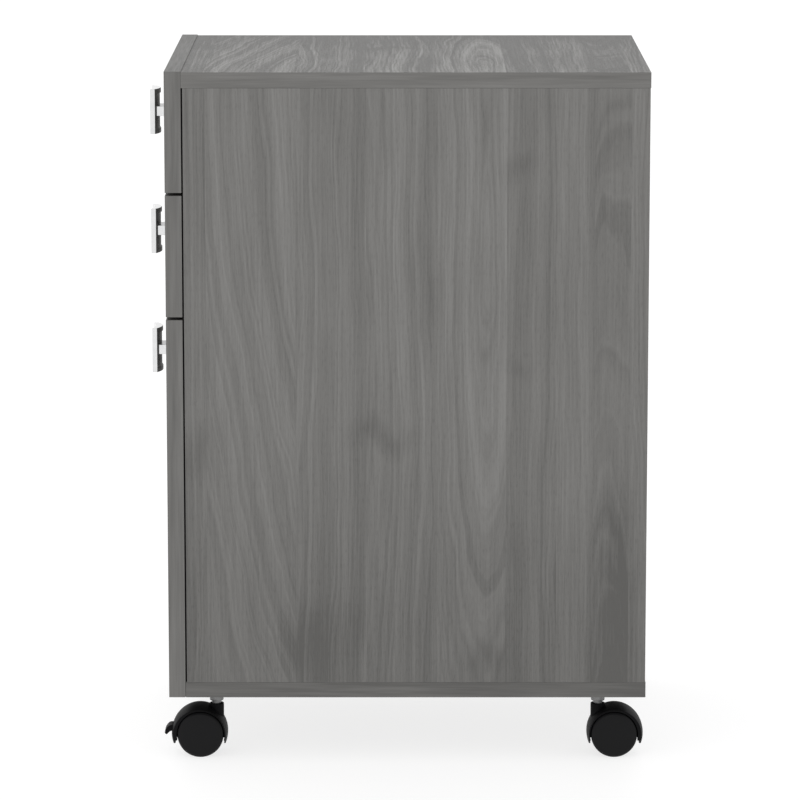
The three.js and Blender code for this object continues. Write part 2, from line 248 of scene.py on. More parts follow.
def ring_figure(tree, across, along, plank):
    """The distance from a plank's heart, drawn out along the grain and wandering a little."""
    heart = tree.math("MULTIPLY_ADD", tree.scaled(plank[0], 3.0), 1.0, -1.0)
    eye = tree.math("MULTIPLY_ADD", tree.scaled(plank[1], 3.0), 1.0, -1.0)
    sideways = tree.math("SUBTRACT", across, tree.scaled(heart, PRINT_WIDTH))
    upwards = tree.math("SUBTRACT", along, tree.scaled(eye, PRINT_LENGTH))
    upwards = tree.math("MULTIPLY", upwards, plank[2])
    squares = tree.math("ADD", tree.math("POWER", tree.math("ABSOLUTE", sideways), 2.0),
                        tree.math("POWER", tree.math("ABSOLUTE", upwards), 2.0))
    drift = tree.noise(tree.place(tree.scaled(across, 11.0), tree.scaled(along, 3.0)), 2.0)
    ripple = tree.noise(tree.place(tree.scaled(across, 60.0), tree.scaled(along, 14.0)), 1.0)
    return tree.total(tree.math("SQRT", squares), tree.around(drift, 0.5, 0.022),
                      tree.around(ripple, 0.5, 0.0045))


def cloud_and_shade_depth(tree, across, along):
    """How dark the print's clouds, and the painted shade at the low end of the grain, make it here."""
    wander = tree.noise(tree.place(tree.scaled(across, 22.0), tree.scaled(along, 9.0)), 2.0)
    here = tree.place(tree.total(tree.scaled(across, 1 / PRINT_WIDTH), tree.around(wander, 0.5, 0.07)),
                      tree.total(tree.scaled(along, 1 / PRINT_LENGTH), tree.around(wander, 0.5, 0.10)))
    depth = None
    for u, v, half_u, half_v, dark in CLOUDS_AND_LOW_SHADE:
        offset = tree.add("ShaderNodeVectorMath", operation="SUBTRACT")
        tree.feed(offset.inputs[0], here)
        tree.feed(offset.inputs[1], (u, v, 0.0))
        shrunk = tree.add("ShaderNodeVectorMath", operation="DIVIDE")
        tree.feed(shrunk.inputs[0], offset.outputs[0])
        tree.feed(shrunk.inputs[1], (half_u, half_v, 1.0))
        length = tree.add("ShaderNodeVectorMath", operation="LENGTH")
        tree.feed(length.inputs[0], shrunk.outputs[0])
        darkening = tree.spread(length.outputs["Value"], 0.1, 1.5, dark, 0.0, smooth=True)
        depth = darkening if depth is None else tree.math("ADD", depth, darkening)
    return depth


def make_print():
    """The laminate's printed wood: planks side by side, each with its own tone and rings, darkened by
    painted shade at the low end of the grain.
    """
    group, tree, given, result = new_group("laminate_print", ("Across", "Along"), ("Shade", "Height"))
    across, along = given[0], given[1]
    stops = [(edge, ((heart + 1) / 3, (eye + 1) / 3, stretch, tone))
             for edge, heart, eye, stretch, tone in PLANKS]
    colour, tone = tree.ramp(tree.scaled(across, 1 / PRINT_WIDTH), stops, steps=True)
    plank = tree.add("ShaderNodeSeparateColor")
    tree.feed(plank.inputs[0], colour)
    rings = ring_figure(tree, across, along, plank.outputs)
    seed = tree.scaled(tone, 40.0)
    bands = tree.noise(tree.math("ADD", tree.scaled(rings, 1 / RING_BAND), seed), 2.0, 0.5, "1D")
    lines = tree.noise(tree.math("ADD", tree.scaled(rings, 1 / RING_LINE), seed), 2.0, 0.6, "1D")
    patches = tree.noise(tree.place(tree.scaled(across, 26.0), tree.scaled(along, 3.2), seed), 3.0, 0.55,
                         "3D")
    streaks = tree.noise(tree.place(tree.scaled(across, 1 / STREAK[0]), tree.scaled(along, 1 / STREAK[1])),
                         2.0)
    pores = tree.noise(tree.place(tree.scaled(across, 1 / PORE[0]), tree.scaled(along, 1 / PORE[1])), 1.0)
    pits = tree.spread(pores, 0.56, 0.74)
    shade = tree.total(
        tone,
        tree.around(bands, 0.5, 0.46),
        tree.around(lines, 0.5, 0.46),
        tree.around(patches, 0.5, 0.45),
        tree.around(streaks, 0.5, 0.40),
        tree.scaled(pits, -0.10),
        tree.scaled(cloud_and_shade_depth(tree, across, along), -1.0),
    )
    height = tree.total(tree.scaled(lines, 0.5), tree.scaled(streaks, 0.5), tree.scaled(pits, -0.9))
    tree.feed(result[0], shade)
    tree.feed(result[1], height)
    return group


PRINT_GROUP_WITH_SHADE = make_print()
WOOD_STOPS = ((0.0, WOOD_DARK), (0.5, WOOD_MIDDLE), (1.0, WOOD_LIGHT))


def laminate(name, across, along, start, shift=(0.0, 0.0), mirrored=False, roughness=0.5,
             tone=0.0, contrast=1.0):
    """Laminate on a board's broad face. start is where the board begins, across and along the grain."""
    surface = Surface(name, roughness, specular=0.4)
    here = surface.split(surface.object_place())
    sign = -1.0 if mirrored else 1.0
    u = surface.math("MULTIPLY_ADD", here[across], sign, shift[0] - sign * start[0])
    v = surface.math("MULTIPLY_ADD", here[along], 1.0, shift[1] - start[1])
    group = surface.add("ShaderNodeGroup", node_tree=PRINT_GROUP_WITH_SHADE)
    surface.feed(group.inputs[0], u)
    surface.feed(group.inputs[1], v)
    printed_with_shade, height = group.outputs
    shade = surface.math("ADD", surface.around(printed_with_shade, 0.5, contrast), 0.5 + tone)
    surface.set("Base Color", surface.ramp(shade, WOOD_STOPS)[0])
    surface.set("Roughness", surface.spread(height, -0.4, 1.0, roughness + 0.12, roughness - 0.06))
    surface.set("Normal", surface.bump(height, 0.35, 0.25 * MM))
    return surface.material


def edge_band(name, across, along, tone):
    """The narrow laminate strip on a board's edge, with the grain along it."""
    surface = Surface(name, 0.5, specular=0.4)
    here = surface.split(surface.object_place())
    u, v = here[across], here[along]
    other = surface.scaled(here[3 - across - along], 3.0)
    broad = surface.noise(surface.place(surface.scaled(u, 1 / 0.006), surface.scaled(v, 1 / 0.13), other),
                          3.0, 0.55, "3D")
    fine = surface.noise(surface.place(surface.scaled(u, 1 / 0.0013), surface.scaled(v, 1 / 0.05), other),
                         2.0, 0.5, "3D")
    shade = surface.total(tone, surface.around(broad, 0.5, 0.85), surface.around(fine, 0.5, 0.36))
    surface.set("Base Color", surface.ramp(shade, WOOD_STOPS)[0])
    surface.set("Roughness", surface.spread(fine, 0.2, 0.8, 0.56, 0.44))
    surface.set("Normal", surface.bump(fine, 0.25, 0.2 * MM))
    return surface.material


def speckled(name, dark, light, roughness, grain=0.0025, bump=0.15, metallic=0.0, specular=0.5):
    """A plain surface with the faint mottling of a pressed or moulded sheet."""
    surface = Surface(name, roughness, metallic, specular)
    place = surface.add("ShaderNodeMapping")
    surface.feed(place.inputs["Vector"], surface.object_place())
    place.inputs["Scale"].default_value = (1 / grain,) * 3
    mottle = surface.noise(place.outputs[0], 3.0, 0.6, "3D")
    surface.set("Base Color", surface.ramp(mottle, ((0.25, dark), (0.75, light)))[0])
    surface.set("Roughness", surface.spread(mottle, 0.2, 0.8, roughness + 0.06, roughness - 0.05))
    surface.set("Normal", surface.bump(mottle, bump, 0.1 * MM))
    return surface.material


def brushed(name, dark, light, roughness, along):
    """Rolled or plated steel with fine lines along one axis."""
    surface = Surface(name, roughness, metallic=1.0)
    place = surface.add("ShaderNodeMapping")
    surface.feed(place.inputs["Vector"], surface.object_place())
    place.inputs["Scale"].default_value = [30.0 if axis == along else 1600.0 for axis in (X, Y, Z)]
    lines = surface.noise(place.outputs[0], 3.0, 0.55, "3D")
    surface.set("Base Color", surface.ramp(lines, ((0.25, dark), (0.75, light)))[0])
    surface.set("Roughness", surface.spread(lines, 0.2, 0.8, roughness + 0.1, roughness - 0.06))
    surface.set("Normal", surface.bump(lines, 0.08, 0.05 * MM))
    return surface.material


def polished(name, dark, light, roughness):
    """Nickel plate with faint polishing haze."""
    surface = Surface(name, roughness, metallic=1.0)
    place = surface.add("ShaderNodeMapping")
    surface.feed(place.inputs["Vector"], surface.object_place())
    place.inputs["Scale"].default_value = (160.0, 160.0, 160.0)
    haze = surface.noise(place.outputs[0], 4.0, 0.6, "3D")
    surface.set("Base Color", surface.ramp(haze, ((0.3, dark), (0.7, light)))[0])
    surface.set("Roughness", surface.spread(haze, 0.25, 0.75, roughness - 0.03, roughness + 0.06))
    return surface.material


# ---------------------------------------------------------------- mesh tools
def finish_piece(name, mesh_builder, body, materials, replaces=(), smooth=40.0):
    """Turns a finished bmesh into a piece that rides on a body."""
    bmesh.ops.recalc_face_normals(mesh_builder, faces=mesh_builder.faces[:])
    mesh = bpy.data.meshes.new(name)
    for face in mesh_builder.faces:
        face.smooth = True
    mesh_builder.to_mesh(mesh)
    mesh_builder.free()
    mesh.set_sharp_from_angle(angle=math.radians(smooth))
    for material in materials:
        mesh.materials.append(material)
    piece = bpy.data.objects.new(name, mesh)
    bpy.context.scene.collection.objects.link(piece)
    normals = piece.modifiers.new("face weighted normals", "WEIGHTED_NORMAL")
    normals.keep_sharp = True
    normals.weight = 100
    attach(piece, body)
    if replaces:
        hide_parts(*replaces)
    return piece


def cad_copy(node):
    """The CAD node's shape as flat faces, ready for its edges to be rounded."""
    builder = bmesh.new()
    builder.from_mesh(frame["nodes"][node].data)
    bmesh.ops.remove_doubles(builder, verts=builder.verts[:], dist=0.002 * MM)
    bmesh.ops.dissolve_limit(builder, angle_limit=math.radians(0.5), verts=builder.verts[:],
                             edges=builder.edges[:])
    return builder


def round_edges(builder, radius, segments=3, sharp=35.0):
    bmesh.ops.recalc_face_normals(builder, faces=builder.faces[:])
    edges = [e for e in builder.edges if e.is_manifold and e.calc_face_angle(0) > math.radians(sharp)]
    bmesh.ops.bevel(builder, geom=edges, offset=radius, offset_type="OFFSET", segments=segments,
                    profile=0.5, affect="EDGES", clamp_overlap=True)


def add_shell(builder, outer, inner, present):
    """Two matching grids of points joined into one closed shell, open where a cell isn't present."""
    front = [[builder.verts.new(p) for p in row] for row in outer]
    back = [[builder.verts.new(p) for p in row] for row in inner]
    rows = len(outer) - 1
    columns = len(outer[0]) - 1

    def has(i, j):
        return 0 <= i < rows and 0 <= j < columns and present(i, j)

    for i in range(rows):
        for j in range(columns):
            if not has(i, j):
                continue
            corners = ((i, j), (i, j + 1), (i + 1, j + 1), (i + 1, j))
            builder.faces.new([front[a][b] for a, b in corners])
            builder.faces.new([back[a][b] for a, b in reversed(corners)])
            neighbours = ((i - 1, j), (i, j + 1), (i + 1, j), (i, j - 1))
            for side, neighbour in enumerate(neighbours):
                if has(*neighbour):
                    continue
                a, b = corners[side]
                c, d = corners[(side + 1) % 4]
                builder.faces.new([front[a][b], back[a][b], back[c][d], front[c][d]])


def turned(builder, profile, place, segments):
    """A closed profile of (radius, height) turned about Z, then placed by a matrix."""
    rings = []
    for radius, height in profile:
        if radius < 1e-7:
            rings.append([builder.verts.new(place @ Vector((0, 0, height)))])
            continue
        ring = []
        for step in range(segments):
            angle = 2 * math.pi * step / segments
            point = Vector((radius * math.cos(angle), radius * math.sin(angle), height))
            ring.append(builder.verts.new(place @ point))
        rings.append(ring)
    loop = profile[0][0] >= 1e-7
    pairs = list(zip(rings, rings[1:])) + ([(rings[-1], rings[0])] if loop else [])
    for low, high in pairs:
        for step in range(segments):
            after = (step + 1) % segments
            corners = [low[step % len(low)], low[after % len(low)],
                       high[after % len(high)], high[step % len(high)]]
            unique = list(dict.fromkeys(corners))
            if len(unique) > 2:
                builder.faces.new(unique)


def join_rings(builder, rings):
    """Rings of as many corners each, joined in order and capped at both ends."""
    count = len(rings[0])
    for near, far in zip(rings, rings[1:]):
        for index in range(count):
            after = (index + 1) % count
            builder.faces.new([near[index], near[after], far[after], far[index]])
    builder.faces.new(rings[0])
    builder.faces.new(reversed(rings[-1]))


def softened(points, radius, steps=4):
    """An open outline with each inner corner replaced by a curve that starts radius away from it."""
    result = [points[0]]
    for before, corner, after in zip(points, points[1:], points[2:]):
        c = Vector(corner)
        into = Vector(before) - c
        out = Vector(after) - c
        reach = min(radius, into.length / 2, out.length / 2)
        start = c + into.normalized() * reach
        end = c + out.normalized() * reach
        for step in range(steps + 1):
            t = step / steps
            point = start * (1 - t) ** 2 + c * 2 * t * (1 - t) + end * t ** 2
            result.append(tuple(point))
    result.append(points[-1])
    return result


def prism(builder, outline, axis, low, high):
    """A flat outline drawn out along an axis. The outline's two numbers are the other two axes in order."""
    others = [a for a in (X, Y, Z) if a != axis]

    def point(pair, level):
        place = [0.0, 0.0, 0.0]
        place[others[0]], place[others[1]] = pair
        place[axis] = level
        return builder.verts.new(place)

    bottom = [point(pair, low) for pair in outline]
    top = [point(pair, high) for pair in outline]
    builder.faces.new(bottom)
    builder.faces.new(reversed(top))
    for index in range(len(outline)):
        after = (index + 1) % len(outline)
        builder.faces.new([bottom[index], top[index], top[after], bottom[after]])


# ---------------------------------------------------------------- boards
BOARD_EDGE_RADIUS = 0.3 * MM
# The CAD leaves 0.3 mm at the side panels' ends, and between the top panel and the top drawer front.
# The boards there reach this far into it, which leaves 0.05 mm.
GAP_REACH = 0.25 * MM
SAME_LEVEL = 0.01 * MM
DRAWER_BOARD_EDGE = 0.5 * MM
EDGE_BANDS = {}


def band(across, along, tone):
    """One edge-band material for each direction that a strip can run, and each tone."""
    key = (across, along, tone)
    if key not in EDGE_BANDS:
        name = f"edge_band_{'xyz'[across]}{'xyz'[along]}_{round(100 * tone)}"
        EDGE_BANDS[key] = edge_band(name, across, along, tone)
    return EDGE_BANDS[key]


def stretch(builder, axis, at_low, at_high):
    """Moves a board's two ends outwards along one axis."""
    levels = [vert.co[axis] for vert in builder.verts]
    low, high = min(levels), max(levels)
    for vert in builder.verts:
        if vert.co[axis] - low < SAME_LEVEL:
            vert.co[axis] -= at_low
        elif high - vert.co[axis] < SAME_LEVEL:
            vert.co[axis] += at_high


def board(name, node, body, face_material, edge_tones=(0.44, 0.44),
          radius=BOARD_EDGE_RADIUS, stretches=()):
    """A board with rounded edges: its broad faces take one material and its edges the edge band.

    stretches holds (axis, at the low end, at the high end): how far it reaches into the CAD's gaps.
    """
    low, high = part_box(node)
    size = high - low
    thin = min((X, Y, Z), key=lambda axis: size[axis])
    broad = [axis for axis in (X, Y, Z) if axis != thin]
    builder = cad_copy(node)
    for axis, at_low, at_high in stretches:
        stretch(builder, axis, at_low, at_high)
    round_edges(builder, radius)
    for face in builder.faces:
        facing = max((X, Y, Z), key=lambda axis: abs(face.normal[axis]))
        face.material_index = 0 if facing == thin else 1 + broad.index(facing)
    bands = [band(thin, broad[1], edge_tones[0]), band(thin, broad[0], edge_tones[1])]
    return finish_piece(name, builder, body, [face_material] + bands, [node])


def add_carcass():
    """The five boards of the cabinet's own body."""
    side_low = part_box("right_side_panel")[0]
    top_low, top_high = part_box("top_panel")
    side_start = (side_low[Y], side_low[Z])
    flat_start = (top_low[Y], top_low[X])
    upright = ((Z, GAP_REACH, GAP_REACH),)
    board("right_side", "right_side_panel", CABINET, laminate("laminate_right_side", Y, Z, side_start),
          stretches=upright)
    board("left_side", "left_side_panel", CABINET,
          laminate("laminate_left_side", Y, Z, side_start, shift=(PRINT_WIDTH, -0.05), mirrored=True),
          stretches=upright)
    # The top's print is painted darker, painted shade that offsets the light it catches from above, and its
    # contrast is raised, painting the glints of its embossed grain into its colour.
    board("top", "top_panel", CABINET,
          laminate("laminate_top", Y, X, flat_start, shift=(0.0, 0.11), roughness=0.5, tone=-0.27,
                   contrast=2.8),
          edge_tones=(0.45, 0.42), stretches=((Y, GAP_REACH, 0.0),))
    board("bottom", "bottom_panel", CABINET,
          laminate("laminate_bottom", Y, X, flat_start, shift=(0.0, 0.2)), edge_tones=(0.12, 0.12))
    back_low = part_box("back_panel")[0]
    board("back", "back_panel", CABINET, laminate("laminate_back", X, Z, (back_low[X], back_low[Z])))


def add_drawer_box(drawer, melamine):
    """A drawer's laminate front and the four plain boards behind it."""
    front_node = f"{drawer}_drawer_front"
    low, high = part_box(front_node)
    start = (low[Z], low[X])
    shift = {"top": (0.30, 0.08), "middle": (0.17, 0.08), "file": (0.02, 0.08)}[drawer]
    body = f"{drawer}_drawer"
    front = laminate(f"laminate_{drawer}_front", Z, X, start, shift=shift)
    board(f"{drawer}_front", front_node, body, front, edge_tones=(0.37, 0.06))
    for part in ("left_side", "right_side", "back", "bottom"):
        node = f"{drawer}_drawer_{part}"
        builder = cad_copy(node)
        round_edges(builder, DRAWER_BOARD_EDGE)
        finish_piece(f"{drawer}_box_{part}", builder, body, [melamine], [node])


# ---------------------------------------------------------------- handles
PLATE_END_THICKNESS = 5.2 * MM
PLATE_FRONT_BOW = 3.0 * MM
PLATE_RIM_BOW = 5.4 * MM  # how far the back bows at its rims
PLATE_HOLLOW_BOW = 4.2 * MM  # and in the hollow between them
PLATE_RIM = 5.0 * MM
PLATE_SLOPE = 0.7 * MM
PLATE_EDGE = 0.5 * MM
PLATE_COLUMNS = 32
POST_HALF_WIDTH = 15.1 * MM
POST_HALF_HEIGHT = 5.1 * MM
POST_CORNER = 0.7 * MM


def add_pull_plate(drawer, metal, metal_painted_shade):
    """A bowed plate, hollowed behind between two rims."""
    node = f"{drawer}_drawer_handle"
    low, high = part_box(node)
    half_x = (high[X] - low[X]) / 2
    half_z = (high[Z] - low[Z]) / 2
    inset = PLATE_RIM + PLATE_SLOPE
    heights = [0.0, PLATE_EDGE, PLATE_RIM, inset, 2 * half_z - PLATE_RIM - PLATE_SLOPE,
               2 * half_z - PLATE_RIM, 2 * half_z - PLATE_EDGE, 2 * half_z]
    outer, inner = [], []
    for index, height in enumerate(heights):
        in_hollow = index in (3, 4)
        bow = PLATE_HOLLOW_BOW if in_hollow else PLATE_RIM_BOW
        at_edge = PLATE_EDGE if index in (0, len(heights) - 1) else 0.0
        front_row, back_row = [], []
        for column in range(PLATE_COLUMNS + 1):
            share = -math.cos(math.pi * column / PLATE_COLUMNS)
            crown = 1 - share ** 2
            at_end = PLATE_EDGE if column in (0, PLATE_COLUMNS) else 0.0
            rounding = max(at_edge, at_end) * 0.7
            x = share * (half_x - PLATE_EDGE * 0.3 if at_edge else half_x)
            z = low[Z] + height
            front_row.append(Vector((x, low[Y] + PLATE_FRONT_BOW * crown + rounding, z)))
            back_row.append(Vector((x, low[Y] + PLATE_END_THICKNESS + bow * crown - rounding, z)))
        outer.append(front_row)
        inner.append(back_row)
    builder = bmesh.new()
    add_shell(builder, outer, inner, lambda i, j: True)
    bmesh.ops.recalc_face_normals(builder, faces=builder.faces[:])
    # The faces turned towards the drawer front, the plate's hollow back, take the darker nickel: painted
    # shade and a painted dark reflection of the front.
    for face in builder.faces:
        face.material_index = 1 if face.normal.y > 0.3 else 0
    finish_piece(f"{drawer}_pull_plate", builder, f"{drawer}_drawer", [metal, metal_painted_shade],
                 [node], smooth=45)


def add_pull_post(drawer, metal, metal_painted_shade):
    """The flared block that carries a plate, from the plate's hollow to the drawer front."""
    low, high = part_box(f"{drawer}_drawer_handle")
    centre_z = (low[Z] + high[Z]) / 2
    face_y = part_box(f"{drawer}_drawer_front")[0][Y]
    back_y = low[Y] + PLATE_END_THICKNESS + PLATE_HOLLOW_BOW
    levels = ((back_y - 3.0 * MM, 0.0), (back_y + 0.6 * MM, 0.0), (face_y - 2.2 * MM, 0.0),
              (face_y - 1.0 * MM, 0.2 * MM), (face_y - 0.1 * MM, 0.4 * MM))
    builder = bmesh.new()
    rows = []
    for y, flare in levels:
        w = POST_HALF_WIDTH + flare
        h = POST_HALF_HEIGHT + flare
        outline = softened([(0, -h), (w, -h), (w, h), (-w, h), (-w, -h), (0, -h)], POST_CORNER)[:-1]
        rows.append([builder.verts.new((x, y, centre_z + z)) for x, z in outline])
    join_rings(builder, rows)
    bmesh.ops.recalc_face_normals(builder, faces=builder.faces[:])
    # The post's top and bottom faces take the darker nickel: painted shade.
    for face in builder.faces:
        face.material_index = 1 if abs(face.normal.z) > 0.6 else 0
    finish_piece(f"{drawer}_pull_post", builder, f"{drawer}_drawer", [metal, metal_painted_shade],
                 smooth=45)


# ---------------------------------------------------------------- casters
def caster_frame(end, side):
    """Where a caster is: its stem, its wheels' centre, and which way it trails."""
    prefix = f"{end}_{side}_caster"
    stem_low, stem_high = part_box(f"{prefix}_stem")
    wheel_low, wheel_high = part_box(f"{prefix}_{side}_wheel")
    stem = (stem_low + stem_high) / 2
    centre = Vector((stem[X], (wheel_low[Y] + wheel_high[Y]) / 2, (wheel_low[Z] + wheel_high[Z]) / 2))
    facing = 1.0 if centre[Y] > stem[Y] else -1.0
    return prefix, stem, centre, facing, (wheel_high[Z] - wheel_low[Z]) / 2


WHEEL_INNER, WHEEL_OUTER = 8.0 * MM, 23.0 * MM  # how far its two faces are from the caster's middle
# The domed outer face: each radius, and how far it lies below the middle of the face.
WHEEL_FACE = ((0.0, 0.0), (7.0, 0.10), (13.0, 0.35), (18.0, 0.72), (21.6, 1.1), (22.3, 1.7))
HUB_RADIUS = 7.0 * MM
HUB_BORE = 3.3 * MM
HUB_BORE_END = 20.5 * MM
CUP_RADIUS, CUP_FLOOR = 20.4 * MM, 18.5 * MM


def add_wheel(prefix, side, centre, radius, plastic):
    """One wheel: a domed face and tread outside, a hollow round the hub inside."""
    node = f"{prefix}_{side}_wheel"
    low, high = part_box(node)
    outward = 1.0 if (low[X] + high[X]) / 2 > centre[X] else -1.0
    face = [(reach * MM, WHEEL_OUTER - below * MM) for reach, below in WHEEL_FACE]
    shoulder = softened([face[-1], (radius, WHEEL_OUTER - 3.2 * MM), (radius, WHEEL_INNER + 0.2 * MM),
                         (20.5 * MM, WHEEL_INNER)], 2.0 * MM)
    cup = softened([shoulder[-1], (CUP_RADIUS, CUP_FLOOR), (HUB_RADIUS, CUP_FLOOR),
                    (HUB_RADIUS, WHEEL_INNER), (HUB_BORE, WHEEL_INNER), (HUB_BORE, HUB_BORE_END)],
                   0.8 * MM, 2)
    profile = face[:-1] + shoulder[:-1] + cup + [(0.0, HUB_BORE_END)]
    place = Matrix.Translation(centre) @ Matrix.Rotation(outward * math.pi / 2, 4, "Y")
    builder = bmesh.new()
    turned(builder, profile, place, 72)
    finish_piece(f"{prefix}_{side}_roller", builder, f"{prefix}_{side}_wheel_body", [plastic],
                 [node], smooth=35)


HOOD_HALF_WIDTH = 20.5 * MM
HOOD_INSIDE = 25.0 * MM
HOOD_EDGE = 27.3 * MM
HOOD_CROWN = 29.5 * MM
HOOD_FORWARD = 1.3 * MM  # the dome's centre is in front of the axle and a little below it
HOOD_DOWN = 0.8 * MM
HOOD_SIDE_DROP = 6.0 * MM
HOOD_CROWN_DROP = 12.7 * MM
HOOD_LIP = 1.6 * MM  # the wall's thickness below the side's edge
HOOD_LIP_START = 0.2 * MM
HOOD_STEPS = 64
SLOT_HALF_WIDTH = 5.3 * MM
NOTCH_HALF_WIDTH = 9.6 * MM
SLOT_LOW, SLOT_HIGH = -4.5 * MM, 10.3 * MM
SLOT_BACK = 14.2 * MM
CORE_REACH = 25.4 * MM
CORE_HALF_WIDTH = 7.6 * MM
CORE_STEPS = 40
BARREL_RADIUS = 7.6 * MM
BARREL_BORE = 5.0 * MM


def dome_place(centre, facing, across, radius, angle):
    """A point on the dome: angle 0 is straight up, and positive angles lean the way the caster faces."""
    forward = HOOD_FORWARD + radius * math.sin(angle)
    return centre + Vector((across, facing * forward, radius * math.cos(angle) - HOOD_DOWN))


def below_dome(centre, point):
    """The point on the hood's inside, round the wheels, that lies under a point of the dome."""
    away = point - centre
    flat = Vector((0.0, away.y, away.z))
    inside = flat.normalized() * HOOD_INSIDE
    if away.z < -HOOD_SIDE_DROP - HOOD_LIP_START:
        inside = flat - flat.normalized() * HOOD_LIP
        inside.z = away.z
    elif away.z < 0:
        inside.z = away.z
        inside.y = math.copysign(math.sqrt(HOOD_INSIDE ** 2 - inside.z ** 2), away.y)
    return centre + Vector((away.x, inside.y, inside.z))


def add_hood(builder, centre, facing, has_brake):
    """The domed cover over both wheels, lower at its crown than at its sides."""
    shares = {0.0, 0.25, NOTCH_HALF_WIDTH / HOOD_HALF_WIDTH, 0.68, 0.82, 0.92, 0.97, 1.0}
    across = sorted({share * HOOD_HALF_WIDTH * side for share in shares for side in (-1, 1)})
    outer, inner = [], []
    for x in across:
        share = abs(x) / HOOD_HALF_WIDTH
        outside = HOOD_CROWN - (HOOD_CROWN - HOOD_EDGE) * share ** 2.4
        if share > 0.99:
            outside -= 0.7 * MM
        drop = HOOD_SIDE_DROP + (HOOD_CROWN_DROP - HOOD_SIDE_DROP) * (1 - min(1.0, share / 0.85) ** 3)
        end = math.pi / 2 + math.asin((drop - HOOD_DOWN) / outside)
        angles = [-end + 2 * end * step / HOOD_STEPS for step in range(HOOD_STEPS + 1)]
        row = [dome_place(centre, facing, x, outside, angle) for angle in angles]
        outer.append(row)
        inner.append([below_dome(centre, point) for point in row])

    def present(i, j):
        if not has_brake or max(abs(across[i]), abs(across[i + 1])) > NOTCH_HALF_WIDTH + 1e-6:
            return True
        if j < HOOD_STEPS / 2:
            return True
        height = (outer[i][j].z + outer[i][j + 1].z) / 2 - centre.z
        return not SLOT_LOW < height < SLOT_HIGH

    add_shell(builder, outer, inner, present)


def add_core(builder, centre, facing, has_brake):
    """The web between the wheels that carries the axle, with a slot in front for the brake lever."""
    reach = CORE_REACH
    limit = math.pi / 2 + math.asin(HOOD_SIDE_DROP / reach)

    def outline(notched):
        arc = [-limit + 2 * limit * step / CORE_STEPS for step in range(CORE_STEPS + 1)]
        points = []
        added = False
        for angle in arc:
            y, z = reach * math.sin(angle), reach * math.cos(angle)
            inside = notched and y > 0 and SLOT_LOW < z < SLOT_HIGH
            if inside and not added:
                points += [(math.sqrt(reach ** 2 - SLOT_HIGH ** 2), SLOT_HIGH), (SLOT_BACK, SLOT_HIGH),
                           (SLOT_BACK, SLOT_LOW), (math.sqrt(reach ** 2 - SLOT_LOW ** 2), SLOT_LOW)]
                added = True
            if not inside:
                points.append((y, z))
        return [(centre[Y] + facing * y, centre[Z] + z) for y, z in points]

    if not has_brake:
        prism(builder, outline(False), X, centre[X] - CORE_HALF_WIDTH, centre[X] + CORE_HALF_WIDTH)
        return
    levels = (-CORE_HALF_WIDTH, -SLOT_HALF_WIDTH, SLOT_HALF_WIDTH, CORE_HALF_WIDTH)
    for index, (low, high) in enumerate(zip(levels, levels[1:])):
        prism(builder, outline(index == 1), X, centre[X] + low, centre[X] + high)


def add_housing(prefix, stem, centre, facing, plastic, has_brake):
    """Hood, web and barrel in one piece. The hood's wall isn't cut away inside the barrel's bore."""
    node = f"{prefix}_housing"
    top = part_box(node)[1][Z]
    builder = bmesh.new()
    add_hood(builder, centre, facing, has_brake)
    add_core(builder, centre, facing, has_brake)
    foot = centre[Z] - 4 * MM
    seat = centre[Z] + 6 * MM
    profile = softened([(0.0, foot), (BARREL_RADIUS, foot), (BARREL_RADIUS, top), (BARREL_BORE, top),
                        (BARREL_BORE, seat), (0.0, seat)], 0.9 * MM, 3)
    turned(builder, profile, Matrix.Translation((stem[X], stem[Y], 0)), 40)
    finish_piece(f"{prefix}_hood", builder, f"{prefix}_swivel", [plastic], [node],
                 smooth=38)


STEM_NECK = 4.7 * MM
STEM_NECK_HEIGHT = 2.8 * MM  # of it shows above the barrel
STEM_COLLAR = 7.2 * MM
STEM_THREAD = 5.0 * MM
STEM_CLEARANCE = 0.3 * MM  # between the collar and the bottom panel


def add_stem(prefix, stem, steel):
    """The swivel's pin: a neck in the barrel, a grooved collar, and a shank in the bottom panel."""
    node = f"{prefix}_stem"
    low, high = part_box(node)
    barrel_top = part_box(f"{prefix}_housing")[1][Z]
    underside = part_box("bottom_panel")[0][Z]
    collar_foot = barrel_top + STEM_NECK_HEIGHT
    collar_top = underside - STEM_CLEARANCE
    outline = [(0.0, low[Z]), (STEM_NECK, low[Z]), (STEM_NECK, collar_foot),
               (STEM_COLLAR - 0.5 * MM, collar_foot), (STEM_COLLAR, collar_foot + 0.6 * MM),
               (STEM_COLLAR, underside - 3.2 * MM), (STEM_COLLAR - 0.8 * MM, underside - 2.4 * MM),
               (STEM_COLLAR, underside - 1.6 * MM), (STEM_COLLAR, collar_top), (STEM_THREAD, collar_top),
               (STEM_THREAD, high[Z]), (0.0, high[Z])]
    builder = bmesh.new()
    turned(builder, softened(outline, 0.4 * MM, 2), Matrix.Translation((stem[X], stem[Y], 0)), 40)
    finish_piece(f"{prefix}_stem_pin", builder, CABINET, [steel], [node])


# The claw's cross-sections from root to tip, in millimetres from the axle: forwards and up.
CLAW_TOP = ((27.5, 6.7), (29.9, 7.8), (32.0, 7.6), (34.0, 6.7), (36.0, 4.4), (37.4, 2.0), (38.0, -0.7))
CLAW_UNDERSIDE = ((27.5, 2.0), (29.6, 1.7), (31.2, 1.3), (32.8, 0.5), (34.2, -0.8), (35.4, -2.4),
                  (36.8, -2.7))
CLAW_HALF_WIDTHS = (8.6, 8.9, 9.0, 9.0, 8.8, 8.4, 7.6)
SHANK = ((19, 0.2), (28, 1.9), (28, 6.7), (24, 6.9), (19, 5.8))
PIVOT_FORWARD, PIVOT_UP = 19.0, 3.0
EYE_RADIUS, EYE_HALF_LENGTH = 4 * MM, 5 * MM
# The pin's ends sit in the web's two cheeks, which have no holes for them.
PIN_RADIUS, PIN_HALF_LENGTH = 1.5 * MM, 6.8 * MM


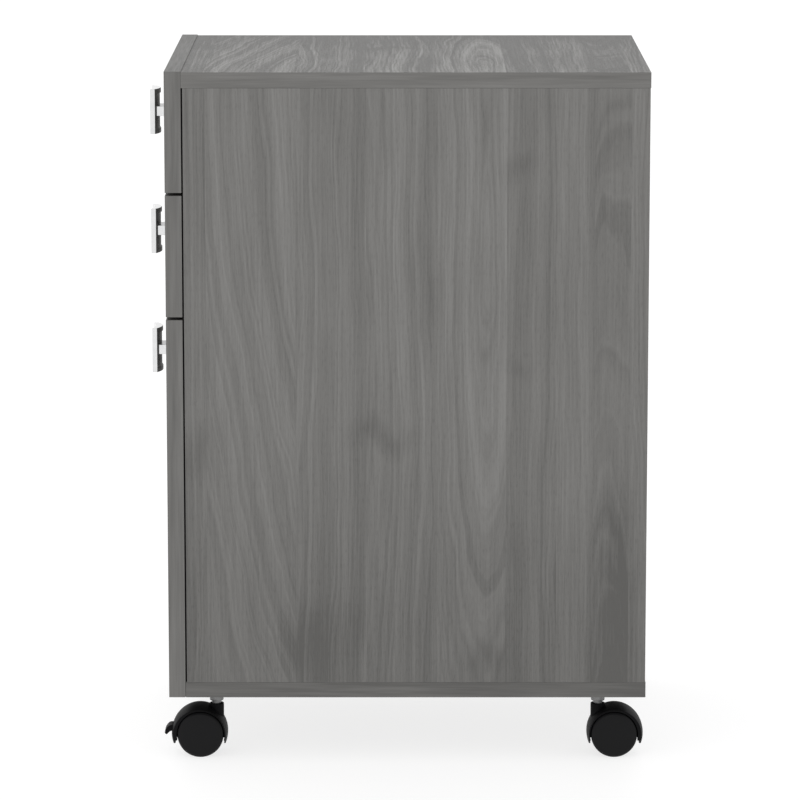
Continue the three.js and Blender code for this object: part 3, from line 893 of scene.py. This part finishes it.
def add_brake_lever(prefix, centre, facing, plastic):
    """A claw that curves out and down, thicker at its root, on an eye inside the housing."""
    builder = bmesh.new()
    rows = []
    for (top_y, top_z), (low_y, low_z), half in zip(CLAW_TOP, CLAW_UNDERSIDE, CLAW_HALF_WIDTHS):
        h = half * MM
        ring = []
        corners = ((-h, low_y, low_z), (h, low_y, low_z), (h, top_y, top_z), (-h, top_y, top_z))
        for x, y, z in corners:
            ring.append(builder.verts.new(centre + Vector((x, facing * y * MM, z * MM))))
        rows.append(ring)
    join_rings(builder, rows)
    round_edges(builder, 0.7 * MM, 3, sharp=50)
    outline = [(centre[Y] + facing * y * MM, centre[Z] + z * MM) for y, z in SHANK]
    prism(builder, outline, X, centre[X] - EYE_HALF_LENGTH, centre[X] + EYE_HALF_LENGTH)
    pivot = centre + Vector((0, facing * PIVOT_FORWARD * MM, PIVOT_UP * MM))
    place = Matrix.Translation(pivot) @ Matrix.Rotation(math.pi / 2, 4, "Y")
    for radius, half, segments in ((EYE_RADIUS, EYE_HALF_LENGTH, 24), (PIN_RADIUS, PIN_HALF_LENGTH, 16)):
        turned(builder, [(0.0, -half), (radius, -half), (radius, half), (0.0, half)], place, segments)
    finish_piece(f"{prefix}_brake_claw", builder, f"{prefix}_brake", [plastic],
                 [f"{prefix}_brake_lever"])


def add_casters(plastic, wheel_plastic, steel):
    """All four casters. The axles stay as the CAD has them, in steel."""
    for end in ("front", "rear"):
        for side in SIDES:
            prefix, stem, centre, facing, radius = caster_frame(end, side)
            has_brake = end == "front"
            add_housing(prefix, stem, centre, facing, plastic, has_brake)
            add_stem(prefix, stem, steel)
            for wheel_side in SIDES:
                add_wheel(prefix, wheel_side, centre, radius, wheel_plastic)
            if has_brake:
                add_brake_lever(prefix, centre, facing, plastic)
            axle = frame["nodes"][f"{prefix}_axle"]
            axle.data.materials.clear()
            axle.data.materials.append(steel)


# ---------------------------------------------------------------- slides and rail
def slide_nodes():
    return [n for n in frame["nodes"] if "_slide_" in n]


def node_body(node):
    return frame["nodes"][node].parent.name.split(":", 1)[1]


def add_slides(steel):
    """Every slide member, with its folded edges rounded."""
    for node in slide_nodes():
        builder = cad_copy(node)
        round_edges(builder, 0.25 * MM, 2, sharp=60)
        finish_piece(node.replace("_member", "_channel"), builder, node_body(node), [steel],
                     [node])


def add_rail(paint):
    """The bent strip that hanging files hook on to."""
    builder = cad_copy("hanging_file_rail")
    round_edges(builder, 0.3 * MM, 2, sharp=60)
    finish_piece("hanging_rail", builder, "file_drawer", [paint], ["hanging_file_rail"])


# ---------------------------------------------------------------- small hardware
SCREW_RADIUS = 3.4 * MM
SCREW_HEIGHT = 1.4 * MM
SCREW_SEGMENTS = 24
SMALL_SCREW_RADIUS = 3.0 * MM
SMALL_SCREW_HEIGHT = 1.2 * MM
HANDLE_SCREW_RADIUS = 3.9 * MM
HANDLE_SCREW_HEIGHT = 2.2 * MM
LOW_SCREW_HEIGHT = 0.8 * MM  # where a middle member runs close over the screws
HANDLE_SCREW_PLACES = (-10 * MM, 10 * MM)
SLIDE_SCREW_PLACES = (45 * MM, 225 * MM, 400 * MM)
RAIL_SCREW_PLACES = (30 * MM, 215 * MM, 400 * MM)
BACK_SCREW_SHARES = (0.02, 0.26, 0.50, 0.74, 0.98)
BACK_SCREW_INSET = 9 * MM
SLIDE_STEEL = 1.2 * MM
RAIL_STEEL = 2 * MM
CAGE_GAP = 0.6 * MM
CAGE_HALF_THICKNESS = 0.25 * MM
BALL_RADIUS = 1.5 * MM
BALL_PITCH = 12.0 * MM
CAGE_START, CAGE_LENGTH = 12.0 * MM, 92.0 * MM
FLANGE_TO_BALL = 2.8 * MM  # a flange's steel and half of the gap that the balls run in


def add_screw(builder, point, direction, height=SCREW_HEIGHT, radius=SCREW_RADIUS):
    """A pan head with a cross recess, standing on a point of a surface."""
    turn = Vector((0, 0, 1)).rotation_difference(Vector(direction)).to_matrix().to_4x4()
    place = Matrix.Translation(point) @ turn

    def cross(step):
        """A cross's reach in one direction: full along its four arms, and less between them."""
        beside = min(step % 6, 6 - step % 6)
        return 1.0 if beside <= 1 else 0.4

    # Each ring's radius and height, and whether it follows the cross.
    levels = ((radius, 0.0, False), (radius, 0.4 * height, False), (0.88 * radius, 0.8 * height, False),
              (0.66 * radius, height, False), (0.52 * radius, height, True),
              (0.44 * radius, 0.4 * height, True))
    rings = []
    for size, level, crossed in levels:
        ring = []
        for step in range(SCREW_SEGMENTS):
            angle = 2 * math.pi * step / SCREW_SEGMENTS
            reach = size * cross(step) if crossed else size
            local = Vector((reach * math.cos(angle), reach * math.sin(angle), level))
            ring.append(builder.verts.new(place @ local))
        rings.append(ring)
    join_rings(builder, rings)


def add_ball_cage(builder, outer_node, inner_node):
    """Two rows of balls in flat cages, between an outer slide member's flanges and an inner one's."""
    outer_low, outer_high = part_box(outer_node)
    inner_low, inner_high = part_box(inner_node)
    x_low = max(outer_low[X], inner_low[X]) + CAGE_GAP
    x_high = min(outer_high[X], inner_high[X]) - CAGE_GAP
    start = outer_low[Y] + CAGE_START
    for z in (outer_low[Z] + FLANGE_TO_BALL, outer_high[Z] - FLANGE_TO_BALL):
        below, above = z - CAGE_HALF_THICKNESS, z + CAGE_HALF_THICKNESS
        strip = [(x_low, below), (x_high, below), (x_high, above), (x_low, above)]
        prism(builder, strip, Y, start, start + CAGE_LENGTH)
        for index in range(int(CAGE_LENGTH / BALL_PITCH)):
            y = start + (index + 0.5) * BALL_PITCH
            middle = Vector(((x_low + x_high) / 2, y, z))
            bmesh.ops.create_uvsphere(builder, u_segments=12, v_segments=8, radius=BALL_RADIUS,
                                      matrix=Matrix.Translation(middle))


def add_slide_screws(builder, node, web_side, height):
    """Three screws in a slide member's web. web_side is 1 if they face away from the middle."""
    low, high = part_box(node)
    outward = 1 if low[X] > 0 else -1
    face = (low[X] if outward * web_side > 0 else high[X]) + outward * web_side * SLIDE_STEEL
    for along in SLIDE_SCREW_PLACES:
        point = Vector((face, low[Y] + along, (low[Z] + high[Z]) / 2))
        add_screw(builder, point, (outward * web_side, 0, 0), height)


def add_hardware(steel):
    """The screws of each body, and the balls and cages of the slides."""
    screws = {body: bmesh.new() for body in (CABINET, "top_drawer", "middle_drawer", "file_drawer")}
    cages = {}
    for drawer in DRAWERS:
        body = f"{drawer}_drawer"
        handle_low, handle_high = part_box(f"{drawer}_drawer_handle")
        inner_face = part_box(f"{drawer}_drawer_front")[1][Y]
        height = (handle_low[Z] + handle_high[Z]) / 2
        for x in HANDLE_SCREW_PLACES:
            add_screw(screws[body], Vector((x, inner_face, height)), (0, 1, 0), HANDLE_SCREW_HEIGHT,
                      HANDLE_SCREW_RADIUS)
        for side in SIDES:
            prefix = f"{drawer}_{side}_slide"
            cabinet_node, drawer_node = f"{prefix}_cabinet_member", f"{prefix}_drawer_member"
            middle_node = f"{prefix}_middle_member"
            has_middle = middle_node in frame["nodes"]
            room = LOW_SCREW_HEIGHT if has_middle else SCREW_HEIGHT
            add_slide_screws(screws[CABINET], cabinet_node, -1, room)
            add_slide_screws(screws[body], drawer_node, 1, SCREW_HEIGHT)
            chain = [cabinet_node, middle_node, drawer_node] if has_middle else [cabinet_node, drawer_node]
            for outer_node, inner_node in zip(chain, chain[1:]):
                owner = node_body(outer_node)
                if owner not in cages:
                    cages[owner] = bmesh.new()
                add_ball_cage(cages[owner], outer_node, inner_node)
    low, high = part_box("back_panel")
    for share in BACK_SCREW_SHARES:
        for x in (low[X] + BACK_SCREW_INSET, high[X] - BACK_SCREW_INSET):
            height = low[Z] + share * (high[Z] - low[Z])
            add_screw(screws[CABINET], Vector((x, high[Y], height)), (0, 1, 0), SMALL_SCREW_HEIGHT,
                      SMALL_SCREW_RADIUS)
    low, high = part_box("hanging_file_rail")
    for along in RAIL_SCREW_PLACES:
        for x, inward in ((low[X] + RAIL_STEEL, 1), (high[X] - RAIL_STEEL, -1)):
            point = Vector((x, low[Y] + along, high[Z] - 22 * MM))
            add_screw(screws["file_drawer"], point, (inward, 0, 0), SMALL_SCREW_HEIGHT,
                      SMALL_SCREW_RADIUS)
    for body, builder in screws.items():
        finish_piece(f"{body}_screws", builder, body, [steel], smooth=30)
    for body, builder in cages.items():
        finish_piece(f"{body}_ball_cages", builder, body, [steel], smooth=50)


# ---------------------------------------------------------------- studio
def add_studio():
    """A pale floor, an even white surround and two soft lights."""
    floor_mesh = bmesh.new()
    level = cad_bounds[0][2]
    corners = ((-1, -1), (1, -1), (1, 1), (-1, 1))
    points = [(a * FLOOR_HALF, b * FLOOR_HALF, level) for a, b in corners]
    floor_mesh.faces.new([floor_mesh.verts.new(point) for point in points])
    mesh = bpy.data.meshes.new("studio_floor")
    floor_mesh.to_mesh(mesh)
    floor_mesh.free()
    floor = bpy.data.objects.new("studio_floor", mesh)
    bpy.context.scene.collection.objects.link(floor)
    surface = Surface("studio_floor", 0.6, specular=0.2)
    surface.set("Base Color", FLOOR_COLOUR)
    surface.set("Emission Color", (1, 1, 1, 1))
    surface.set("Emission Strength", FLOOR_GLOW)
    mesh.materials.append(surface.material)

    world = bpy.data.worlds.new("studio")
    world.use_nodes = True
    background = next(n for n in world.node_tree.nodes if n.type == "BACKGROUND")
    background.inputs["Color"].default_value = (1, 1, 1, 1)
    background.inputs["Strength"].default_value = WORLD_STRENGTH
    bpy.context.scene.world = world
    add_light("key", (2.6, -1.6, 3.0), 2.4, 18)
    add_light("fill", (-2.4, -2.0, 2.6), 2.4, 10)
    bpy.context.scene.view_settings.view_transform = "Standard"


def add_light(name, place, size, power):
    """A square softbox that faces the middle of the cabinet."""
    data = bpy.data.lights.new(name, "AREA")
    data.size = size
    data.energy = power
    light = bpy.data.objects.new(name, data)
    light.location = place
    towards = Vector((0, 0, 0.36)) - Vector(place)
    light.rotation_euler = towards.to_track_quat("-Z", "Y").to_euler()
    bpy.context.scene.collection.objects.link(light)


def add_camera():
    data = bpy.data.cameras.new("camera")
    data.lens = CAMERA_LENS
    data.sensor_width = CAMERA_SENSOR
    data.clip_end = 100.0
    camera = bpy.data.objects.new("camera", data)
    camera.location = (CAMERA_X, CAMERA_Y, CAMERA_Z)
    camera.rotation_euler = (math.pi / 2 - CAMERA_PITCH, 0, math.pi / 2)
    bpy.context.scene.collection.objects.link(camera)
    bpy.context.scene.camera = camera


# ---------------------------------------------------------------- assembly
add_camera()
add_studio()
melamine = speckled("drawer_melamine", (0.36, 0.352, 0.335, 1), (0.42, 0.412, 0.395, 1), 0.5)
nickel = polished("bright_nickel", (0.68, 0.685, 0.69, 1), (0.75, 0.75, 0.75, 1), 0.1)
# A darker copy of the bright nickel: painted shade and painted dark reflection for the pulls' hollow backs
# and the posts' tops and bottoms.
dull_nickel = polished("dull_nickel", (0.33, 0.33, 0.335, 1), (0.40, 0.40, 0.40, 1), 0.24)
black = speckled("black_nylon", (0.005, 0.005, 0.0055, 1), (0.008, 0.008, 0.0085, 1), 0.5, 0.0009, 0.12,
                 specular=0.05)
black_wheel = speckled("black_wheel_nylon", (0.006, 0.006, 0.0065, 1), (0.0085, 0.0085, 0.009, 1), 0.38,
                       0.0009, 0.1, specular=0.11)
zinc = brushed("zinc_plate", (0.42, 0.43, 0.44, 1), (0.55, 0.56, 0.57, 1), 0.34, Y)
zinc_turned = brushed("zinc_turned", (0.17, 0.17, 0.17, 1), (0.25, 0.25, 0.25, 1), 0.42, X)
black_paint = speckled("black_paint", (0.018, 0.018, 0.019, 1), (0.028, 0.028, 0.029, 1), 0.45)
add_carcass()
for drawer_name in DRAWERS:
    add_drawer_box(drawer_name, melamine)
    add_pull_plate(drawer_name, nickel, dull_nickel)
    add_pull_post(drawer_name, nickel, dull_nickel)
add_slides(zinc)
add_rail(black_paint)
add_hardware(zinc)
add_casters(black, black_wheel, zinc_turned)
